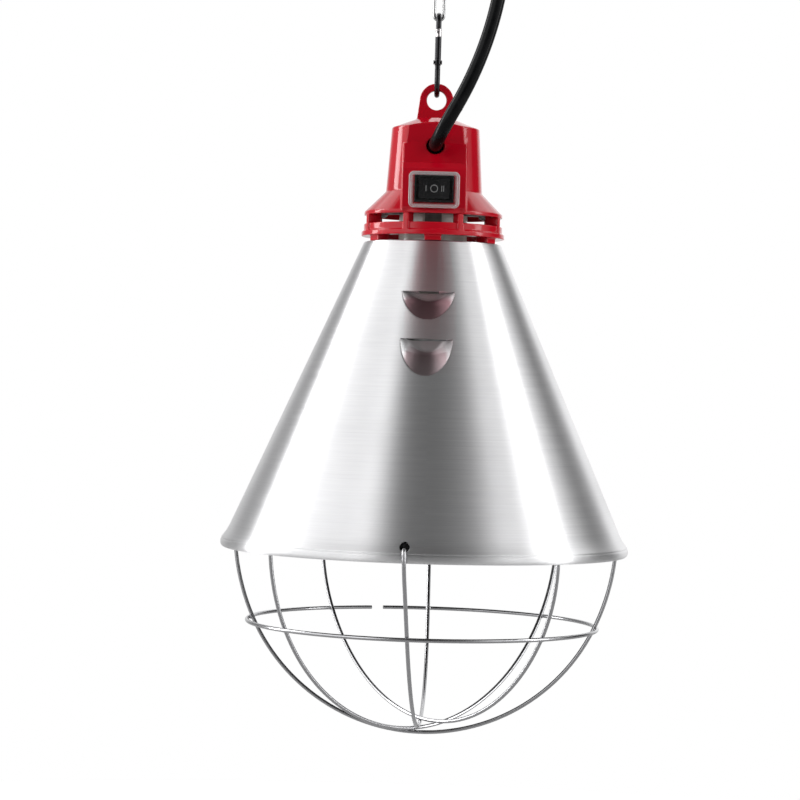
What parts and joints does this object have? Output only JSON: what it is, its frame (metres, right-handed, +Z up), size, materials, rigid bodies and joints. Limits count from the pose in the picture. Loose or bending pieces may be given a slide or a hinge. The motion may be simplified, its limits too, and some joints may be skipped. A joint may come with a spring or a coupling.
{
  "type": "heat lamp fixture",
  "caption": "Hanging heat lamp fixture: conical aluminium shade with a wire guard, screw lampholder, red switch head, cable and snap hook.",
  "frame": {"origin": "the hanging point, where a ceiling hook touches the inside of the top chain link", "axes": "+Z up along the shade's axis, -Y towards the switch, +X to the right when facing the switch"},
  "size_m": [0.21, 0.2153, 0.4142],
  "materials": {
    "zinc_chain": "bright zinc plated steel wire",
    "zinc_hook": "dark nickel plated steel, polished",
    "red_head": "glossy moulded plastic, deep red",
    "red_ring": "glossy moulded plastic, deep red",
    "black_switch": "satin black plastic",
    "clear_boot": "clear soft plastic, glossy",
    "cable_rubber": "matte black rubber",
    "core_brown": "brown wire insulation",
    "core_blue": "blue wire insulation",
    "core_earth": "green and yellow wire insulation",
    "black_part": "matte black plastic",
    "steel_part": "zinc plated pressed steel",
    "porcelain": "off-white glazed porcelain",
    "brass_part": "plain brass",
    "shade_aluminium": "spun aluminium, fine turning lines all round",
    "guard_wire": "bright plated steel wire"
  },
  "bodies": {
    "chain_top": {"chain_link_top": "zinc_chain"},
    "chain_lower": {"chain_link_lower": "zinc_chain"},
    "snap_hook": {"hook_frame": "zinc_hook", "gate_pin": "zinc_hook"},
    "gate": {"hook_gate": "zinc_hook", "gate_spring": "zinc_hook"},
    "lamp": {"head_cover": "red_head", "vent_ring": "red_ring", "switch_body": "black_switch", "switch_boot": "clear_boot", "switch_terminals": "brass_part", "rectifier_diode": "black_part", "cable_sheath": "cable_rubber", "core_brown": "core_brown", "core_blue": "core_blue", "core_earth": "core_earth", "switched_lead": "black_part", "cord_grip": "black_part", "cord_grip_screws": "steel_part", "holder_bracket": "steel_part", "bracket_screws": "steel_part", "holder_screws": "steel_part", "lampholder_body": "porcelain", "screw_shell": "brass_part", "live_terminal": "brass_part", "neutral_terminal": "brass_part", "terminal_screws": "steel_part", "earth_tag": "brass_part", "earth_screw": "steel_part", "shade": "shade_aluminium", "shade_screws": "steel_part", "shade_washers": "steel_part", "guard_hoop_side": "guard_wire", "guard_hoop_left": "guard_wire", "guard_hoop_front": "guard_wire", "guard_hoop_right": "guard_wire", "guard_ring": "guard_wire"},
    "rocker": {"switch_rocker": "black_switch"},
    "contact": {"centre_contact": "brass_part"}
  },
  "joints": [
    {"name": "chain_swing", "type": "hinge", "parent": "chain_top", "child": "chain_lower", "pos_m": [0, 0, -0.0226], "axis": [0, 1, 0], "range_deg": [-28, 28]},
    {"name": "hook_swing", "type": "hinge", "parent": "chain_lower", "child": "snap_hook", "pos_m": [0, 0, -0.04405], "axis": [1, 0, 0], "range_deg": [-40, 40]},
    {"name": "lamp_swing", "type": "hinge", "parent": "snap_hook", "child": "lamp", "pos_m": [0, 0, -0.0826], "axis": [0, 1, 0], "range_deg": [-35, 35]},
    {"name": "gate_open", "type": "hinge", "parent": "snap_hook", "child": "gate", "pos_m": [0, -0.0075, -0.0667], "axis": [-1, 0, 0], "range_deg": [0, 24]},
    {"name": "rocker_tilt", "type": "hinge", "parent": "lamp", "child": "rocker", "pos_m": [0, -0.0305, -0.1337], "axis": [0, 0, 1], "range_deg": [-9, 9]},
    {"name": "contact_flex", "type": "hinge", "parent": "lamp", "child": "contact", "pos_m": [0.0082, 0.0092, -0.1693], "axis": [-0.7465, 0.6654, 0], "range_deg": [0, 10]}
  ]
}
